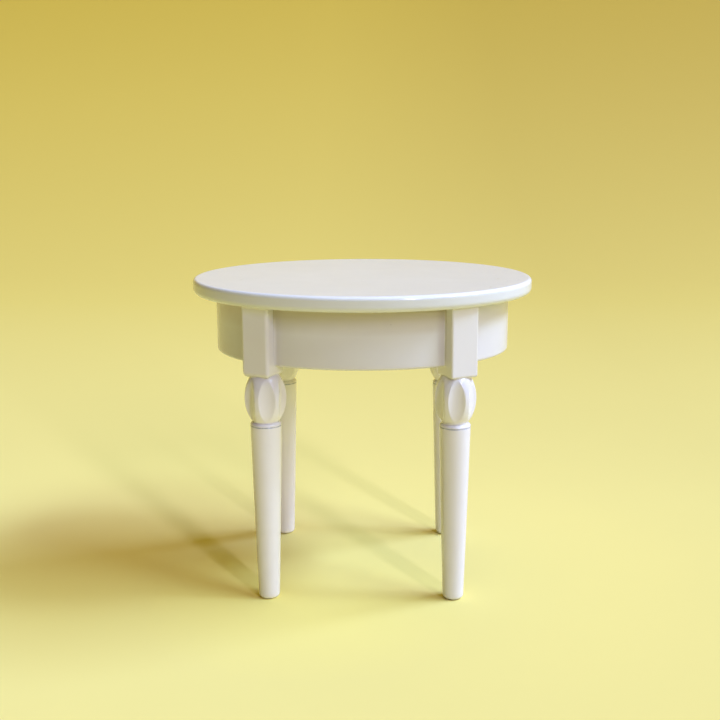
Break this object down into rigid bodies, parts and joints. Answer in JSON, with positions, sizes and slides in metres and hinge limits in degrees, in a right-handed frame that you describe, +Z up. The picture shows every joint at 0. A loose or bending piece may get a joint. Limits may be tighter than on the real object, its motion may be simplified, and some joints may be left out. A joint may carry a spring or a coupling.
{
  "type": "miniature dining table",
  "caption": "Dolls' house dining table with an oval round-edged top, curved apron and turned legs with a carved egg and tapered shank, in ivory lacquer.",
  "frame": {"origin": "on the floor, under the middle of the oval top", "axes": "+X along the oval's long axis, +Y along its short axis towards the back, +Z up"},
  "size_m": [0.07, 0.058, 0.063],
  "materials": {
    "ivory_lacquer": "glossy ivory lacquer over close-grained wood",
    "bare_beech": "bare beech, unfinished"
  },
  "bodies": {
    "root": {"table_top": "ivory_lacquer", "apron_rail_front": "ivory_lacquer", "apron_rail_back": "ivory_lacquer", "apron_rail_left": "ivory_lacquer", "apron_rail_right": "ivory_lacquer", "leg_front_left": "ivory_lacquer", "leg_front_right": "ivory_lacquer", "leg_back_left": "ivory_lacquer", "leg_back_right": "ivory_lacquer", "glue_block_front": "ivory_lacquer", "glue_block_back": "ivory_lacquer", "glue_block_left": "ivory_lacquer", "glue_block_right": "ivory_lacquer", "rail_peg_front_to_front_left": "bare_beech", "rail_peg_front_to_front_right": "bare_beech", "rail_peg_back_to_back_left": "bare_beech", "rail_peg_back_to_back_right": "bare_beech", "rail_peg_left_to_front_left": "bare_beech", "rail_peg_left_to_back_left": "bare_beech", "rail_peg_right_to_front_right": "bare_beech", "rail_peg_right_to_back_right": "bare_beech", "top_peg_front_left": "bare_beech", "top_peg_front_right": "bare_beech", "top_peg_back_left": "bare_beech", "top_peg_back_right": "bare_beech"}
  },
  "joints": []
}
